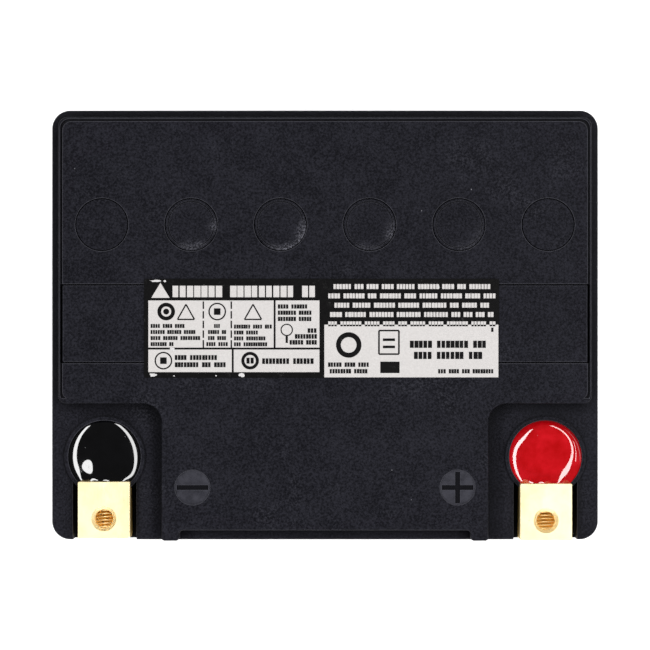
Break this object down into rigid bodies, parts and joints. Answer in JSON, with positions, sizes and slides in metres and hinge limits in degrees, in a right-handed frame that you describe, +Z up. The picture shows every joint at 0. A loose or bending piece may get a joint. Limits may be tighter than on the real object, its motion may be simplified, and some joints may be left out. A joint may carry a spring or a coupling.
{
  "type": "motorcycle battery",
  "caption": "Sealed AGM motorcycle battery with flush lid, round vent plugs, a filler strip, recessed corner terminals and its inner plate stacks.",
  "frame": {"origin": "centre of the base's bounding rectangle, on the surface that the battery stands on", "axes": "+Z up; -Y towards the terminal side; +X towards the positive terminal"},
  "size_m": [0.168, 0.132, 0.176],
  "materials": {
    "case_plastic": "fine-grained black polypropylene",
    "lid_plastic": "fine-grained black polypropylene with light scuffs",
    "plug_plastic": "black polypropylene, scuffed",
    "label_film": "printed film, black with off-white panels",
    "terminal_brass": "bright machined brass",
    "cast_lead": "dull cast lead",
    "positive_paste": "dark brown lead dioxide paste on a lead grid",
    "negative_paste": "grey sponge lead paste on a lead grid",
    "glass_mat": "white glass fibre mat",
    "black_rubber": "soft black rubber",
    "porous_plastic": "white sintered porous plastic",
    "black_resin": "glossy black potting resin",
    "red_resin": "glossy red potting resin"
  },
  "bodies": {
    "battery": {"case": "case_plastic", "lid": "lid_plastic", "lid_corner_negative": "lid_plastic", "lid_corner_positive": "lid_plastic", "filler_strip": "lid_plastic", "label": "label_film", "cell_joints": "cast_lead", "terminal_negative": "terminal_brass", "post_negative": "cast_lead", "post_gasket_negative": "black_rubber", "terminal_positive": "terminal_brass", "post_positive": "cast_lead", "post_gasket_positive": "black_rubber", "potting_negative": "black_resin", "potting_positive": "red_resin", "positive_plates_1": "positive_paste", "negative_plates_1": "negative_paste", "separators_1": "glass_mat", "straps_1": "cast_lead", "positive_plates_2": "positive_paste", "negative_plates_2": "negative_paste", "separators_2": "glass_mat", "straps_2": "cast_lead", "positive_plates_3": "positive_paste", "negative_plates_3": "negative_paste", "separators_3": "glass_mat", "straps_3": "cast_lead", "positive_plates_4": "positive_paste", "negative_plates_4": "negative_paste", "separators_4": "glass_mat", "straps_4": "cast_lead", "positive_plates_5": "positive_paste", "negative_plates_5": "negative_paste", "separators_5": "glass_mat", "straps_5": "cast_lead", "positive_plates_6": "positive_paste", "negative_plates_6": "negative_paste", "separators_6": "glass_mat", "straps_6": "cast_lead"},
    "plug_1": {"vent_plug_1": "plug_plastic", "flame_arrestor_1": "porous_plastic"},
    "valve_1": {"relief_valve_1": "black_rubber"},
    "plug_2": {"vent_plug_2": "plug_plastic", "flame_arrestor_2": "porous_plastic"},
    "valve_2": {"relief_valve_2": "black_rubber"},
    "plug_3": {"vent_plug_3": "plug_plastic", "flame_arrestor_3": "porous_plastic"},
    "valve_3": {"relief_valve_3": "black_rubber"},
    "plug_4": {"vent_plug_4": "plug_plastic", "flame_arrestor_4": "porous_plastic"},
    "valve_4": {"relief_valve_4": "black_rubber"},
    "plug_5": {"vent_plug_5": "plug_plastic", "flame_arrestor_5": "porous_plastic"},
    "valve_5": {"relief_valve_5": "black_rubber"},
    "plug_6": {"vent_plug_6": "plug_plastic", "flame_arrestor_6": "porous_plastic"},
    "valve_6": {"relief_valve_6": "black_rubber"}
  },
  "joints": [
    {"name": "plug_1_pull", "type": "slide", "parent": "battery", "child": "plug_1", "axis": [0, 0, 1], "range_m": [0, 0.012]},
    {"name": "valve_1_lift", "type": "slide", "parent": "battery", "child": "valve_1", "axis": [0, 0, 1], "range_m": [0, 0.0008], "stiffness_N_per_m": 500},
    {"name": "plug_2_pull", "type": "slide", "parent": "battery", "child": "plug_2", "axis": [0, 0, 1], "range_m": [0, 0.012]},
    {"name": "valve_2_lift", "type": "slide", "parent": "battery", "child": "valve_2", "axis": [0, 0, 1], "range_m": [0, 0.0008], "stiffness_N_per_m": 500},
    {"name": "plug_3_pull", "type": "slide", "parent": "battery", "child": "plug_3", "axis": [0, 0, 1], "range_m": [0, 0.012]},
    {"name": "valve_3_lift", "type": "slide", "parent": "battery", "child": "valve_3", "axis": [0, 0, 1], "range_m": [0, 0.0008], "stiffness_N_per_m": 500},
    {"name": "plug_4_pull", "type": "slide", "parent": "battery", "child": "plug_4", "axis": [0, 0, 1], "range_m": [0, 0.012]},
    {"name": "valve_4_lift", "type": "slide", "parent": "battery", "child": "valve_4", "axis": [0, 0, 1], "range_m": [0, 0.0008], "stiffness_N_per_m": 500},
    {"name": "plug_5_pull", "type": "slide", "parent": "battery", "child": "plug_5", "axis": [0, 0, 1], "range_m": [0, 0.012]},
    {"name": "valve_5_lift", "type": "slide", "parent": "battery", "child": "valve_5", "axis": [0, 0, 1], "range_m": [0, 0.0008], "stiffness_N_per_m": 500},
    {"name": "plug_6_pull", "type": "slide", "parent": "battery", "child": "plug_6", "axis": [0, 0, 1], "range_m": [0, 0.012]},
    {"name": "valve_6_lift", "type": "slide", "parent": "battery", "child": "valve_6", "axis": [0, 0, 1], "range_m": [0, 0.0008], "stiffness_N_per_m": 500}
  ]
}
